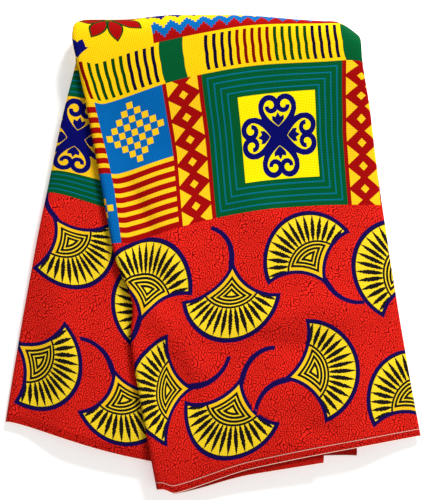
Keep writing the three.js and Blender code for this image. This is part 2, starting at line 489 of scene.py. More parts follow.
    def section(self, along: Array) -> tuple[Array, list[int]]:
        """Lays the cloth through all its plies.

        Args:
            along: length of cloth from the front selvedge, one for each row.

        Returns:
            Points by row and by place along the section, and the places of the fold lines.
        """
        turn_x, radii = [], []
        for i, line in enumerate(self.lines):
            taut = along - self.line_slack(i, along)
            x = self.line_x_along(i, taut)
            x = self.line_x_along(i, taut + self.slide(x, along, self.line_reach(line)))
            radius = np.zeros_like(along)
            if line.side:
                gap = self.place(i - 1, 1.0, along, x) - self.place(i, 0.0, along, x)
                radius = np.linalg.norm(gap, axis=-1) / 2
            turn_x.append(x - line.side * radius)
            radii.append(radius)
        points, marks = [], [0]
        for i in range(len(self.plies)):
            for share in np.linspace(0.0, 1.0, self.samples_across):
                points.append(self.place(i, share, along, blend(turn_x[i], turn_x[i + 1], share)))
            if i + 1 == len(self.plies):
                break
            start = points[-1]
            end = self.place(i + 1, 0.0, along, turn_x[i + 1])
            middle = (start + end) / 2
            out = np.zeros_like(start)
            out[:, 0] = self.lines[i + 1].side * radii[i + 1]
            marks.append(len(points) + self.samples_round // 2 - 1)
            for step in range(1, self.samples_round):
                angle = math.pi * step / self.samples_round
                points.append(middle + (start - middle) * math.cos(angle) + out * math.sin(angle))
        marks.append(len(points) - 1)
        return self.draw_in(np.stack(points, axis=1)), marks

    def fold(self, lengthwise: Array, along: Array) -> Array:
        """Folds the flat cloth.

        Args:
            lengthwise: places along the cloth's length, rising.
            along: lengths of cloth from the front selvedge, rising.

        Returns:
            A point for each row of along and each column of lengthwise.
        """
        points, marks = self.section(along)
        steps = np.linalg.norm(np.diff(points, axis=1), axis=-1)
        run = np.concatenate([np.zeros((len(along), 1)), np.cumsum(steps, axis=1)], axis=1)
        at_knots = self.first_fold_at, self.wing_fold_at, self.gather, self.gather_left, self.take_up
        by_row = [np.interp(along, self.knots, given) for given in at_knots]
        first_at, wing_at, gather_right, gather_left, take_up = by_row
        folded = np.empty((len(along), len(lengthwise), 3))
        right, left, inner, wing, last = marks[1:-1]
        for row in range(len(along)):
            at = run[row]
            from_middle = first_at[row] + at[right] - at - self.gather_from
            gather = np.where(from_middle > 0, gather_right[row], gather_left[row])
            place = self.gather_from + from_middle * gather
            place -= take_up[row] * (1 - smooth(np.abs(at - at[left]), 0.0, self.take_up_reach))
            place[inner:] = wing_at[row] + at[wing] - at[inner:]
            for begin, end, ends_at in ((left, inner, place[inner]), (last, marks[-1], self.length[0])):
                share = (at[begin:end + 1] - at[begin]) / (at[end] - at[begin])
                place[begin:end + 1] = blend(place[begin], ends_at, share)
            place[:right] = blend(self.length[1], place[right], at[:right] / at[right])
            for axis in range(3):
                folded[row, :, axis] = np.interp(-lengthwise, -place, points[row, :, axis])
        return folded


class Zone(Enum):
    """The printed fields of the cloth, each with a finish of its own."""

    SELVEDGE = 0
    RED_GROUND = 1
    GREEN_SQUARE = 2
    LATTICE = 3
    CHEQUER_BLOCK = 4
    STRIPE_BLOCK = 5
    BAR_BAND = 6
    FLOWER_PANEL = 7
    ZIGZAG_BAND = 8


@dataclass(frozen=True)
class Field:
    """One printed field, repeated along the cloth.

    Attributes:
        zone: its finish.
        along: where it starts and ends along the length.
        over: where it starts and ends from the selvedge.
        origin: where its own coordinates start.
        repeat: distance to its next copy.
    """

    zone: Zone
    along: tuple[float, float]
    over: tuple[float, float]
    origin: tuple[float, float]
    repeat: float = 440.0


@dataclass(frozen=True)
class FanShape:
    """Outline of the fan motif, with its tip at the origin and its arc along +Y.

    Attributes:
        arc_centre: Y of the centre of the outer arc.
        arc_radius: radius of the outer arc.
        side_centre: centre of the right-hand arc that hollows a side.
        side_radius: radius of that arc.
        stem_centre: centre of the stem's bend.
        stem_radius: radius of the stem's bend.
        stem_width: half the stem's width at the tip, and how much it loses to its end.
        stem_end: how far short of a quarter turn the stem ends.
    """

    arc_centre: float = 27.7
    arc_radius: float = 63.3
    side_centre: tuple[float, float] = (56.0, -23.3)
    side_radius: float = 58.0
    stem_centre: tuple[float, float] = (-40.0, -9.2)
    stem_radius: float = 38.5
    stem_width: tuple[float, float] = (3.5, 1.1)
    stem_end: float = 10.0

    def clearance(self, x: Array, y: Array) -> Array:
        """How far points lie outside the fan or its stem, less than 0 inside.

        Args:
            x: across the fan.
            y: from its tip to its arc.

        Returns:
            A rough distance.
        """
        side = np.hypot(np.abs(x) - self.side_centre[0], y - self.side_centre[1]) - self.side_radius
        arc = self.arc_radius - np.hypot(x, y - self.arc_centre)
        stem_x, stem_y = x - self.stem_centre[0], y - self.stem_centre[1]
        stem = np.abs(np.hypot(stem_x, stem_y) - self.stem_radius) - self.stem_width[0]
        past = np.maximum(0.0, self.stem_end - stem_x) + np.maximum(0.0, stem_y)
        return np.minimum(-np.minimum(side, arc), stem + past)


@dataclass(frozen=True)
class Fan:
    """Place of one fan motif on the flat cloth.

    Attributes:
        tip: its narrow end, lengthwise and from the selvedge.
        turn: direction from the tip to the middle of the arc, in degrees.
        hand: the side that its stem bends to, 1 or -1.
        size: how much larger than the plain shape it is printed.
    """

    tip: tuple[float, float]
    turn: float
    hand: int
    size: float = 1.0

    def local(self, lengthwise: Array, across: Array) -> tuple[Array, Array]:
        """Turns places on the flat cloth into the fan's own x and y."""
        along, over = (lengthwise - self.tip[0]) / self.size, (across - self.tip[1]) / self.size
        cosine, sine = math.cos(math.radians(self.turn)), math.sin(math.radians(self.turn))
        return self.hand * (along * sine - over * cosine), along * cosine + over * sine

    def moved(self, by: float) -> "Fan":
        """The same fan further along the cloth."""
        return replace(self, tip=(self.tip[0] + by, self.tip[1]))


@dataclass
class Layout:
    """Where the printed fields lie on the flat cloth.

    Lengths start at the left side of a green square. The print is mirrored at the middle of the width.
    """

    width: float
    middle: float = 584.0
    selvedge: float = 11.0
    repeat: float = 440.0
    fields: Sequence[Field] = (
        Field(Zone.RED_GROUND, (0, 440), (0, 300), (0, 0)),
        Field(Zone.GREEN_SQUARE, (0, 172), (300, 480), (86, 390)),
        Field(Zone.LATTICE, (172, 220), (300, 480), (196, 300)),
        Field(Zone.CHEQUER_BLOCK, (220, 306), (300, 390), (263, 345)),
        Field(Zone.STRIPE_BLOCK, (220, 306), (390, 480), (220, 390)),
        Field(Zone.STRIPE_BLOCK, (306, 392), (300, 390), (306, 300)),
        Field(Zone.CHEQUER_BLOCK, (306, 392), (390, 480), (349, 435)),
        Field(Zone.LATTICE, (392, 440), (300, 480), (416, 300)),
        Field(Zone.BAR_BAND, (-43, 177), (480, 532), (-43, 480), 220),
        Field(Zone.FLOWER_PANEL, (-264, -157), (532, 584), (-190, 584)),
        Field(Zone.FLOWER_PANEL, (-157, -49), (532, 584), (-83, 584)),
        Field(Zone.ZIGZAG_BAND, (-49, 176), (532, 584), (-49, 532)),
    )
    fan_shape: FanShape = FanShape()
    face_fans: Sequence[Fan] = (
        Fan((-115, 205), 70, 1, 1.08),
        Fan((15.5, 239), 262, -1),
        Fan((130, 206), 117, -1),
        Fan((261, 204), 157, 1, 1.07),
        Fan((-49, 111), 172, -1),
        Fan((12, 104), 245, 1),
        Fan((70, 96), 4, -1),
        Fan((239, 20), 119, 1),
    )
    wing_fans: Sequence[Fan] = (
        Fan((-797, 261), 316, 1),
        Fan((-821, 96), 336, 1),
        Fan((-693, 99), 298, -1),
        Fan((-620, 192), 179, 1),
    )
    wing_span: tuple[float, float] = (-930.0, -560.0)

    def fans(self) -> list[Fan]:
        """All fans of the cloth: the wing's own ones, and the face's repeated elsewhere."""
        fans = list(self.wing_fans)
        for turn in range(-3, 2):
            for fan in self.face_fans:
                moved = fan.moved(turn * self.repeat)
                if not self.wing_span[0] < moved.tip[0] < self.wing_span[1]:
                    fans.append(moved)
        return fans

    def lengthwise_lines(self, start: float, end: float) -> set[float]:
        """Places along the length where one field ends and the next begins."""
        lines = set()
        for printed in self.fields:
            first = math.ceil((start - printed.along[0]) / printed.repeat)
            last = math.floor((end - printed.along[0]) / printed.repeat)
            lines |= {printed.along[0] + turn * printed.repeat for turn in range(first, last + 1)}
        return lines

    def crosswise_lines(self) -> set[float]:
        """Places across the width where one field ends and the next begins."""
        half = {printed.over[1] for printed in self.fields}
        other_half = {2 * self.middle - line for line in half}
        return half | other_half | {self.selvedge, self.width - self.selvedge}

    def over(self, across: Array) -> Array:
        """Folds places across the width onto the half that the fields are given for."""
        return np.minimum(across, 2 * self.middle - across)

    def zones(self, lengthwise: Array, across: Array) -> tuple[Array, Array]:
        """Finds the field of each place and where the field's own coordinates start.

        Args:
            lengthwise: places along the length.
            across: places across the width.

        Returns:
            Zone numbers, and a row of two origins for each place.
        """
        over = self.over(across)
        zones = np.full(len(over), Zone.SELVEDGE.value)
        origins = np.zeros((len(over), 2))
        for printed in self.fields:
            inside = np.mod(lengthwise - printed.along[0], printed.repeat)
            here = (inside < printed.along[1] - printed.along[0]) & (over > printed.over[0])
            here &= over < printed.over[1]
            zones[here] = printed.zone.value
            starts = lengthwise[here] - inside[here] + printed.origin[0] - printed.along[0]
            origins[here, 0], origins[here, 1] = starts, printed.origin[1]
        zones[np.minimum(across, self.width - across) < self.selvedge] = Zone.SELVEDGE.value
        return zones, origins

    def nearest_fans(self, lengthwise: Array, across: Array) -> tuple[list[Fan], Array]:
        """Finds the fan that each place belongs to.

        Args:
            lengthwise: places along the length.
            across: places across the width.

        Returns:
            The fans, and the number of the nearest one for each place.
        """
        fans, over = self.fans(), self.over(across)
        away = np.stack([self.fan_shape.clearance(*fan.local(lengthwise, over)) for fan in fans])
        return fans, np.argmin(away, axis=0)


def dye(red: int, green: int, blue: int) -> Colour:
    """Turns a colour as seen on a screen, 0 to 255, into light."""
    shares = [channel / 255 for channel in (red, green, blue)]
    light = [c / 12.92 if c <= 0.04045 else ((c + 0.055) / 1.055) ** 2.4 for c in shares]
    return light[0], light[1], light[2]


@dataclass(frozen=True)
class Dyes:
    """The colours of the print."""

    red: Colour = dye(237, 38, 26)
    maroon: Colour = dye(118, 4, 6)
    crimson: Colour = dye(158, 8, 8)
    yellow: Colour = dye(254, 232, 4)
    amber: Colour = dye(254, 200, 26)
    corn: Colour = dye(252, 202, 12)
    gold: Colour = dye(252, 216, 40)
    navy: Colour = dye(8, 9, 98)
    indigo: Colour = dye(22, 10, 78)
    midnight: Colour = dye(13, 6, 42)
    green: Colour = dye(2, 84, 42)
    leaf: Colour = dye(8, 62, 16)
    blue: Colour = dye(4, 98, 170)
    teal: Colour = dye(6, 106, 130)
    black: Colour = dye(26, 22, 22)
    pale: Colour = dye(246, 214, 196)


DYES = Dyes()


def operator(operation: str, swapped: bool = False) -> Callable[..., "Value"]:
    """Makes an operator of Value.

    Args:
        operation: the Math node's operation.
        swapped: whether the value is the second number, as in 1 - mask.

    Returns:
        The method.
    """
    def method(self: "Value", *others: "Number") -> "Value":
        """Adds the Math node."""
        return self.graph.math(operation, *((*others, self) if swapped else (self, *others)))

    return method


@dataclass(frozen=True)
class Value:
    """A number on its way through a shader. Its operators add Math nodes.

    A comparison gives a mask of 0 and 1. The product of two masks is their overlap, | takes the larger
    of two numbers and so joins masks, & takes the smaller, and a remainder is never below 0.
    """

    graph: "Graph"
    socket: bpy.types.NodeSocket

    __add__ = __radd__ = operator("ADD")
    __sub__ = operator("SUBTRACT")
    __rsub__ = operator("SUBTRACT", swapped=True)
    __mul__ = __rmul__ = operator("MULTIPLY")
    __truediv__ = operator("DIVIDE")
    __pow__ = operator("POWER")
    __mod__ = operator("FLOORED_MODULO")
    __abs__ = operator("ABSOLUTE")
    __lt__ = operator("LESS_THAN")
    __gt__ = operator("GREATER_THAN")
    __or__ = operator("MAXIMUM")
    __and__ = operator("MINIMUM")

    def near(self, middle: "Number", reach: "Number") -> "Value":
        """Mask of where it is within reach of a middle."""
        return abs(self - middle) < reach

    def repeated(self, pitch: float, start: float = 0.0) -> "Value":
        """Distance from the nearest of evenly spaced places, with its sign."""
        return (self - (start - pitch / 2)) % pitch - pitch / 2


Number = Union[float, Value]
Paint = Union[Colour, bpy.types.NodeSocket]


class Graph:
    """The nodes of one material."""

    def __init__(self, name: str) -> None:
        """Starts an empty material.

        Args:
            name: the material's name.
        """
        self.material = bpy.data.materials.new(name)
        self.material.use_nodes = True
        self.tree = self.material.node_tree
        self.tree.nodes.clear()

    def node(self, kind: str, settings: dict[str, object],
             sockets: dict[Union[int, str], object]) -> bpy.types.Node:
        """Adds a node.

        Args:
            kind: the node's type.
            settings: its own properties, set first.
            sockets: values or links of its inputs.

        Returns:
            The new node.
        """
        made = self.tree.nodes.new(kind)
        for key, setting in settings.items():
            setattr(made, key, setting)
        for key, given in sockets.items():
            given = given.socket if isinstance(given, Value) else given
            if isinstance(given, bpy.types.NodeSocket):
                self.tree.links.new(given, made.inputs[key])
            elif isinstance(given, tuple) and len(made.inputs[key].default_value) == 4:
                made.inputs[key].default_value = (*given, 1.0)
            else:
                made.inputs[key].default_value = given
        return made

    def math(self, operation: str, *numbers: Number) -> Value:
        """Adds a Math node."""
        made = self.node("ShaderNodeMath", {"operation": operation}, dict(enumerate(numbers)))
        return Value(self, made.outputs[0])

    def map(self, name: str) -> tuple[bpy.types.NodeSocket, Value, Value]:
        """Reads a UV map, as a vector and as its two numbers."""
        vector = self.node("ShaderNodeUVMap", {"uv_map": name}, {}).outputs[0]
        parts = self.node("ShaderNodeSeparateXYZ", {}, {0: vector}).outputs
        return vector, Value(self, parts[0]), Value(self, parts[1])

    def length(self, x: Number, y: Number) -> Value:
        """Length of the vector from two numbers."""
        vector = self.node("ShaderNodeCombineXYZ", {}, {0: x, 1: y}).outputs[0]
        made = self.node("ShaderNodeVectorMath", {"operation": "LENGTH"}, {0: vector})
        return Value(self, made.outputs["Value"])

    def noise(self, vector: bpy.types.NodeSocket, scale: float, detail: float = 0.0) -> Value:
        """Soft noise over a flat map, about 0 to 1."""
        sockets = {"Vector": vector, "Scale": scale, "Detail": detail}
        made = self.node("ShaderNodeTexNoise", {"noise_dimensions": "2D"}, sockets)
        return Value(self, made.outputs[0])

    def mix(self, mask: Number, under: Paint, over: Paint, how: str = "MIX") -> bpy.types.NodeSocket:
        """Lays one colour over another where a mask is 1."""
        settings = {"data_type": "RGBA", "blend_type": how}
        return self.node("ShaderNodeMix", settings, {0: mask, 6: under, 7: over}).outputs[2]

    def finished(self, sockets: dict[str, object]) -> bpy.types.Material:
        """Ends the material with its shader, from the values or links of the shader's sockets."""
        shader = self.node("ShaderNodeBsdfPrincipled", {}, sockets)
        self.node("ShaderNodeOutputMaterial", {}, {"Surface": shader.outputs[0]})
        return self.material


@dataclass(frozen=True)
class Weave:
    """The cotton under the print.

    Attributes:
        pitch: distance between thread crossings.
        shade: how much the threads darken the dye.
        fade: how much the dye varies over the cloth.
        fade_size: size of those variations.
        fade_detail: how much finer variation they hold.
        bump: height of the threads, in metres.
        bump_strength: how much of it shows.
        roughness: how matt the cotton is.
        gloss: how little it shines.
    """

    pitch: float = 2.8
    shade: float = 0.24
    fade: float = 0.16
    fade_size: float = 60.0
    fade_detail: float = 2.0
    bump: float = 0.00035
    bump_strength: float = 0.6
    roughness: float = 0.85
    gloss: float = 0.03

    def dress(self, graph: Graph, paint: Paint) -> bpy.types.Material:
        """Finishes a material with the threads and the matt surface of cotton.

        Args:
            graph: the material's nodes so far.
            paint: the printed colour.

        Returns:
            The material.
        """
        vector, along, over = graph.map("cloth")
        turn = 2 * math.pi / (self.pitch * math.sqrt(2))
        threads = graph.math("SINE", (along + over) * turn) * graph.math("SINE", (along - over) * turn)
        fade = graph.noise(vector, 1 / self.fade_size, self.fade_detail)
        shade = threads * (self.shade / 2) + fade * self.fade + (1 - self.shade / 2 - self.fade / 2)
        colour = graph.mix(1.0, paint, shade.socket, "MULTIPLY")
        heights = {"Height": threads, "Strength": self.bump_strength, "Distance": self.bump}
        relief = graph.node("ShaderNodeBump", {}, heights).outputs[0]
        return graph.finished({"Base Color": colour, "Roughness": self.roughness,
                               "Specular IOR Level": self.gloss, "Normal": relief})


@dataclass(frozen=True)
class Finish:
    """A printed field: what its dyes draw, on the common weave."""

    def paint(self, graph: Graph) -> Paint:
        """Draws the field's print.

        Args:
            graph: the nodes to draw with.

        Returns:
            Its colour.
        """
        raise NotImplementedError

    def material(self, name: str, weave: Weave) -> bpy.types.Material:
        """Makes the field's material."""
        graph = Graph(name)
        return weave.dress(graph, self.paint(graph))


@dataclass(frozen=True)
class Ground(Finish):
    """Red covered in thin wandering lines.

    Attributes:
        wave: length of the waves that cross each other.
        waves: how many cross.
        spread: how much longer each wave is than the one before.
        turn: angle from wave to wave, in radians.
        line: half the width of a line.
        push: how far the waves are pushed about.
        push_size: over what distance that changes.
    """

    wave: float = 5.1
    waves: int = 6
    spread: float = 0.05
    turn: float = 2.4
    line: float = 0.45
    push: float = 7.0
    push_size: float = 18.0

    def paint(self, graph: Graph) -> Paint:
        """Draws a line wherever the crossing waves cancel out."""
        vector, x, y = graph.map("cloth")
        pushed = graph.noise(vector, 1 / self.push_size) * self.push
        x, y = x + pushed, y - pushed
        height: Number = 0.0
        slope_x: Number = 0.0
        slope_y: Number = 0.0
        for number in range(self.waves):
            turn = 2 * math.pi / (self.wave * (1 + self.spread * number))
            turn_x, turn_y = turn * math.cos(self.turn * number), turn * math.sin(self.turn * number)
            phase = x * turn_x + y * turn_y + number
            height = graph.math("SINE", phase) + height
            slope = graph.math("COSINE", phase)
            slope_x, slope_y = slope * turn_x + slope_x, slope * turn_y + slope_y
        lines = abs(height) < graph.length(slope_x, slope_y) * self.line
        return graph.mix(lines, DYES.red, DYES.maroon)


@dataclass(frozen=True)
class Selvedge(Ground):
    """The woven edge, where the ground runs on a little darker.

    Attributes:
        raw: width of the pale raw edge.
        line_at: distance of a faint pale line from it.
        line_width: half the width of that line.
        line_strength: how pale it is.
        line_from: where it begins along the cloth.
        tone: how much darker the ground is.
        width: from selvedge to selvedge.
    """

    raw: float = 0.6
    line_at: float = 8.5
    line_width: float = 0.45
    line_strength: float = 0.5
    line_from: float = -200.0
    tone: Colour = (0.8, 0.7, 0.7)
    width: float = 1128.0

    def paint(self, graph: Graph) -> Paint:
        """Draws the pale threads over the ground."""
        colour = graph.mix(1.0, Ground.paint(self, graph), self.tone, "MULTIPLY")
        _, along, across = graph.map("cloth")
        over = across & (self.width - across)
        line = over.near(self.line_at, self.line_width) * (along > self.line_from)
        colour = graph.mix(line * self.line_strength, colour, DYES.pale)
        return graph.mix(over < self.raw, colour, DYES.pale)


@dataclass(frozen=True)
class FanGround(Ground):
    """The red ground with its fans.

    Attributes:
        shape: outline of the fans.
        outline: width of their dark edge.
        rim: width of the black line inside it.
        inner_centre: Y of the centre of the inner arc.
        inner_radius: radius of the inner arc.
        inner_line: half the width of its line.
        kite_gap: gap between that line and the kites.
        kite_margin: distance of the outermost kite from the sides.
        kite_pitch: distance from kite to kite.
        kite_line: width of their lines.
        kite_lines: how many there are.
        stem_top: how far the stem reaches into the fan.
        ray_centre: Y that the rays spread from.
        ray_turn: degrees from ray to ray.
        ray_width: half the width of a ray at its widest.
        ray_shape: which end it is widest at, the middle at 1.
        ray_grain: size of the ragged bites in its edges.
        ray_ragged: how deep those are, and what is left without them.
    """

    shape: FanShape = FanShape()
    outline: float = 4.4
    rim: float = 1.0
    inner_centre: float = 11.75
    inner_radius: float = 39.3
    inner_line: float = 1.3
    kite_gap: float = 1.5
    kite_margin: float = 8.2
    kite_pitch: float = 4.4
    kite_line: float = 2.85
    kite_lines: int = 3
    stem_top: float = 12.5
    ray_centre: float = 22.0
    ray_turn: float = 10.0
    ray_width: float = 2.65
    ray_shape: float = 0.85
    ray_grain: float = 1.4
    ray_ragged: tuple[float, float] = (0.7, 0.65)

    def paint(self, graph: Graph) -> Paint:
        """Draws the stem, the fan and its rays, arcs and kites over the ground."""
        shape = self.shape
        colour = Ground.paint(self, graph)
        vector, x, y = graph.map("print")
        stem_x, stem_y = x - shape.stem_centre[0], y - shape.stem_centre[1]
        below = stem_y & 0.0
        tapered = shape.stem_width[0] + below * (shape.stem_width[1] / shape.stem_radius)
        stem = graph.length(stem_x, below).near(shape.stem_radius, tapered)
        stem = stem * (stem_y < self.stem_top) * (stem_x > shape.stem_end)
        colour = graph.mix(stem, colour, DYES.indigo)
        side = graph.length(abs(x) - shape.side_centre[0], y - shape.side_centre[1]) - shape.side_radius
        arc = shape.arc_radius - graph.length(x, y - shape.arc_centre)
        colour = graph.mix((side & arc) > 0.0, colour, DYES.indigo)
        body = (side & arc) > self.outline
        colour = graph.mix(body, colour, DYES.gold)
        inner = graph.length(x, y - self.inner_centre) - self.inner_radius
        ragged = graph.noise(vector, 1 / self.ray_grain) * self.ray_ragged[0] + self.ray_ragged[1]
        field = body * (inner > 0.0) * ragged
        colour = self.rays(graph, colour, field, (x, y), (inner, arc - self.outline))
        return self.kites(graph, colour, body, side, inner)

    def rays(self, graph: Graph, colour: Paint, field: Value, place: tuple[Value, Value],
             ends: tuple[Value, Value]) -> Paint:
        """Draws the dark rays between the inner and the outer arc, and the thin rim of the outer one.

        Args:
            graph: the nodes to draw with.
            colour: the colour so far.
            field: how wide rays may be, 0 where there are none.
            place: the fan's own x and y.
            ends: distances from the inner and the outer arc.

        Returns:
            The colour with rays.
        """
        x, y = place[0], place[1] - self.ray_centre
        turn = math.radians(self.ray_turn)
        aside = graph.math("ARCTAN2", x, y).repeated(turn) * graph.length(x, y)
        share = (ends[0] / (ends[0] + ends[1]) | 0.0) ** self.ray_shape
        width = share * (1 - share) * (4 * self.ray_width) * field
        dark = (abs(aside) < width) | (ends[1] < self.rim) * (field > 0.0)
        return graph.mix(dark, colour, DYES.black)

    def kites(self, graph: Graph, colour: Paint, body: Value, side: Value, inner: Value) -> Paint:
        """Draws the inner arc and the nested kites at the tip.

        Args:
            graph: the nodes to draw with.
            colour: the colour so far.
            body: mask of the fan inside its outline.
            side: distance from the sides.
            inner: distance outside the inner arc.

        Returns:
            The colour with the arc and the kites.
        """
        colour = graph.mix(body * (inner < 0.0) * (side < self.kite_margin), colour, DYES.amber)
        deep = (side - self.kite_margin) & (0 - inner - (self.inner_line + self.kite_gap))
        lines = (deep % self.kite_pitch < self.kite_line) * (deep > 0.0)
        lines = lines * (deep < self.kite_pitch * self.kite_lines)
        return graph.mix(body * (lines | inner.near(0.0, self.inner_line)), colour, DYES.black)


@dataclass(frozen=True)
class GreenSquare(Finish):
    """A green square with thin frames around a yellow panel and its scrolled cross.

    Attributes:
        frames: distance of the first frame from the middle, and from frame to frame.
        frame_count: how many frames there are.
        frame_width: half the width of a frame's line.
        squash: how much shorter across the width the frames are.
        shift: how far the panel lies off the middle.
        shaded_panel_before: place along the cloth before which the panel is painted amber instead of
            yellow, as painted shade where it lies on the wing.
        panel: half its size, along and across.
        cross: the same of the cross, whose sizes below are shares of it.
        hub: half the size of the cross's middle.
        hollow: half the width of an arm's hollow, where it starts to close, and over what length.
        hollow_shape: how suddenly it closes.
        arm_width: half the width of an arm.
        waist: where an arm starts to narrow towards the hub, and how fast.
        curl_centre: middle of the curl at an arm's end, aside and along.
        curl_radius: its radius at its inner end, and how much that grows in a turn.
        curl_width: half the width of its line there, and how much that grows.
        bud_sides: reach of the bud in the hollow beside its point, and how fast that grows sideways.
        bud_point: reach of its point, and how fast that shrinks sideways.
        bud_base: where the bud starts, and over what length it gets wide.
        bud_width: half its width.
        bud_shape: how round its base is.
    """

    frames: tuple[float, float] = (57.0, 7.5)
    frame_count: int = 4
    frame_width: float = 0.95
    squash: float = 0.955
    shift: float = 3.5
    shaded_panel_before: float = -500.0
    panel: tuple[float, float] = (48.5, 53.5)
    cross: tuple[float, float] = (47.0, 50.5)
    hub: float = 0.23
    hollow: tuple[float, float, float] = (0.375, 0.7, 0.47)
    hollow_shape: float = 1.8
    arm_width: float = 0.51
    waist: tuple[float, float] = (0.62, 0.37)
    curl_centre: tuple[float, float] = (0.19, 0.745)
    curl_radius: tuple[float, float] = (0.085, 0.16)
    curl_width: tuple[float, float] = (0.055, 0.02)
    bud_sides: tuple[float, float] = (0.448, 0.333)
    bud_point: tuple[float, float] = (0.581, 1.7)
    bud_base: tuple[float, float] = (0.25, 0.15)
    bud_width: float = 0.16
    bud_shape: float = 0.75

    def paint(self, graph: Graph) -> Paint:
        """Draws the frames, the panel and the cross."""
        _, x, y = graph.map("print")
        ring = abs(x) | abs(y) * self.squash
        start, pitch = self.frames
        lines = ring.repeated(pitch, start).near(0.0, self.frame_width)
        lines = lines * (ring > start - pitch / 2) * (ring < start + pitch * (self.frame_count - 0.5))
        colour = graph.mix(lines, DYES.green, DYES.teal)
        x = x - self.shift
        _, lengthwise, _ = graph.map("cloth")
        # Painted shade: the panel on the wing gets amber instead of its yellow dye, standing in for the
        # shade it lies in.
        panel_with_painted_shade = graph.mix(lengthwise < self.shaded_panel_before, DYES.yellow, DYES.amber)
        colour = graph.mix((abs(x) < self.panel[0]) * (abs(y) < self.panel[1]), colour, panel_with_painted_shade)
        along, aside = abs(x) / self.cross[0], abs(y) / self.cross[1]
        return graph.mix(self.scrolls(graph, along | aside, along & aside), colour, DYES.navy)

    def scrolls(self, graph: Graph, out: Value, aside: Value) -> Value:
        """Draws one arm of the cross, seen as half of it.

        Args:
            graph: the nodes to draw with.
            out: distance along the arm, 1 at the panel's edge.
            aside: distance from the arm's middle line.

        Returns:
            Mask of the arm.
        """
        half, closes_at, closing = self.hollow
        hollow = half * (1 - (((closes_at - out) / closing) | 0.0) ** self.hollow_shape)
        limit = self.arm_width - self.waist[1] * ((self.waist[0] - out) | 0.0)
        arm = (aside > hollow) * (aside < limit) * (out < self.curl_centre[1]) | (out < self.hub)
        x, y = aside - self.curl_centre[0], out - self.curl_centre[1]
        share = (graph.math("ARCTAN2", 0 - y, x) / (2 * math.pi)) % 1.0
        sizes = self.curl_radius, self.curl_width
        radius, width = (start + growth * share for start, growth in sizes)
        arm = arm | graph.length(x, y).near(radius, width)
        sides = self.bud_sides[0] + self.bud_sides[1] * aside
        tip = sides | (self.bud_point[0] - self.bud_point[1] * aside)
        base = (((out - self.bud_base[0]) / self.bud_base[1]) | 0.0) & 1.0
        return arm | (out < tip) * (aside < base**self.bud_shape * self.bud_width)


@dataclass(frozen=True)
class Lattice(Finish):
    """A crimson strip of linked diamonds with yellow between them."""

    pitch: float = 28.0
    first: float = 20.0
    edge: float = 19.0
    triangle: tuple[float, float] = (14.5, 12.0)
    eye: float = 5.6

    def paint(self, graph: Graph) -> Paint:
        """Draws the triangles at the sides and the eyes of the diamonds."""
        _, x, y = graph.map("print")
        deep = self.edge - abs(x)
        half = self.triangle[1] * (1 - deep / self.triangle[0])
        between = y.repeated(self.pitch, self.first + self.pitch / 2)
        triangles = (deep > 0.0) * (abs(between) < half)
        eyes = abs(x) + abs(y.repeated(self.pitch, self.first)) < self.eye
        return graph.mix(triangles | eyes, DYES.crimson, DYES.amber)


@dataclass(frozen=True)
class ChequerBlock(Finish):
    """A blue block with a stepped diamond of small yellow squares."""

    pitch: float = 8.5
    square: float = 4.0
    steps: int = 4

    def paint(self, graph: Graph) -> Paint:
        """Draws every second square of the diamond."""
        _, x, y = graph.map("print")
        column, row = (graph.math("ROUND", part / self.pitch) for part in (x, y))
        inside = abs(column) + abs(row) < self.steps + 0.5
        even = (column + row) % 2.0 < 0.5
        squares = (abs(x.repeated(self.pitch)) | abs(y.repeated(self.pitch))) < self.square
        return graph.mix(inside * even * squares, DYES.blue, DYES.amber)


@dataclass(frozen=True)
class StripeBlock(Finish):
    """Yellow and crimson stripes along the cloth."""

    height: float = 90.0
    stripes: int = 7
    yellow_share: float = 0.43

    def paint(self, graph: Graph) -> Paint:
        """Draws the stripes from the top down."""
        _, _, y = graph.map("print")
        from_top = (self.height - y) * (self.stripes / self.height)
        return graph.mix(from_top % 1.0 < self.yellow_share, DYES.crimson, DYES.amber)


@dataclass(frozen=True)
class BarBand(Finish):
    """A yellow band with a green block and a run of short bars."""

    block: float = 27.0
    bars_from: float = 49.0
    pitch: float = 9.333
    bar: float = 2.0
    ends: tuple[float, float] = (4.0, 48.5)
    dark_bars: float = 4.0
    coloured_bars: float = 5.0

    def paint(self, graph: Graph) -> Paint:
        """Draws dark, red, green and again dark bars, then the block."""
        _, x, y = graph.map("print")
        number = (x - self.bars_from) / self.pitch
        bar_colour: Paint = DYES.midnight
        for run, run_dye in enumerate((DYES.maroon, DYES.leaf)):
            first = self.dark_bars + run * self.coloured_bars
            here = (number > first) * (number < first + self.coloured_bars)
            bar_colour = graph.mix(here, bar_colour, run_dye)
        bars = x.repeated(self.pitch, self.bars_from + self.pitch / 2).near(0.0, self.bar)
        bars = bars * (y > self.ends[0]) * (y < self.ends[1]) * (number > 0.0)
        colour = graph.mix(bars, DYES.corn, bar_colour)
        return graph.mix(x < self.block, colour, DYES.green)


